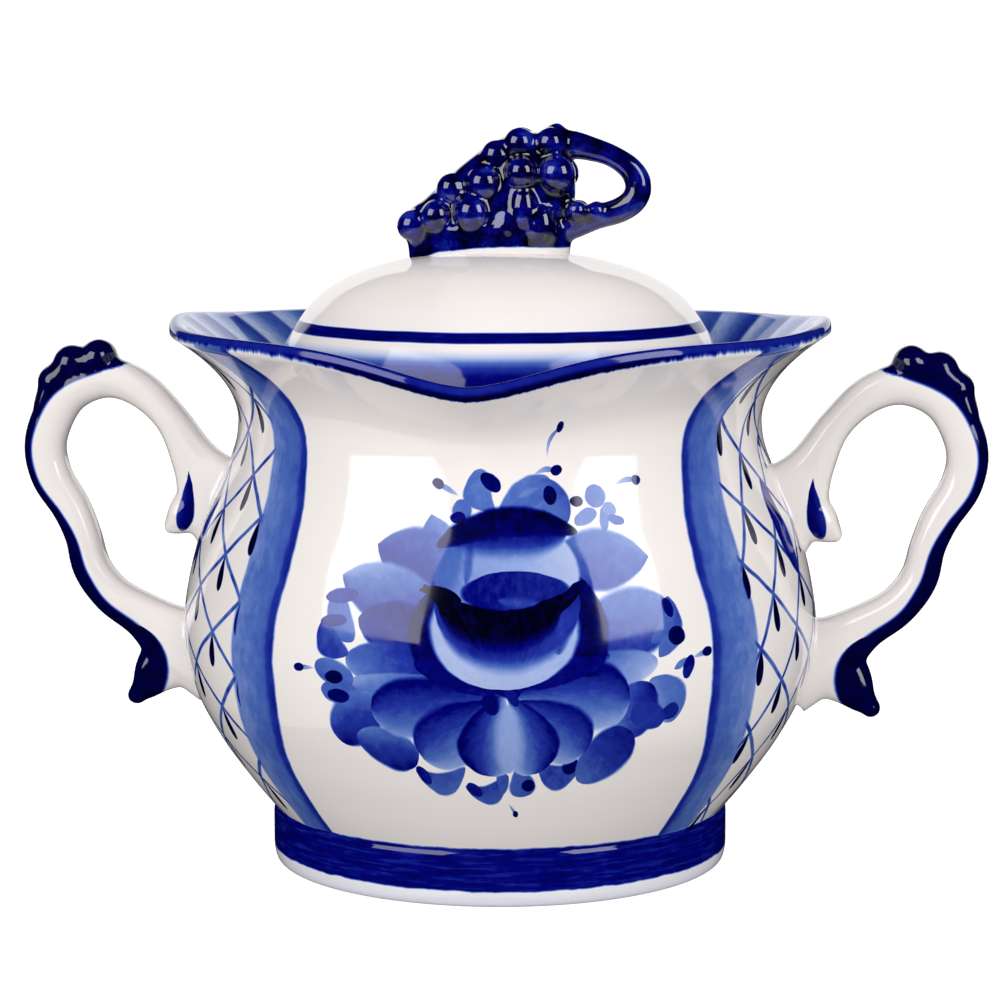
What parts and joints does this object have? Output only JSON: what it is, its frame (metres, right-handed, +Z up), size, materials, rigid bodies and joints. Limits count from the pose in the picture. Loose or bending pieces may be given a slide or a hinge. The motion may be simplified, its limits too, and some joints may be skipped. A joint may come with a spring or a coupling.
{
  "type": "lidded porcelain sugar bowl",
  "caption": "Round-bellied blue-and-white porcelain sugar bowl with scroll handles, a flared wavy rim and a lift-off domed lid with a grape finial.",
  "frame": {"origin": "centre of the foot ring, on the surface that the bowl stands on", "axes": "+Z up through the lid, +X to the right handle, -Y to the painted front"},
  "size_m": [0.1822, 0.1194, 0.1384],
  "materials": {
    "white_glaze": "clear gloss glaze over white porcelain, with hand-painted cobalt underglaze decoration",
    "cobalt_glaze": "clear gloss glaze over a full coat of cobalt, thinner and brighter on the raised forms"
  },
  "bodies": {
    "bowl_body": {"bowl": "white_glaze", "handle_left": "white_glaze", "handle_right": "white_glaze"},
    "lid_body": {"lid": "white_glaze", "grape_finial": "cobalt_glaze"}
  },
  "joints": [
    {"name": "lid_lift", "type": "slide", "parent": "bowl_body", "child": "lid_body", "axis": [0, 0, 1], "range_m": [0, 0.06]}
  ]
}
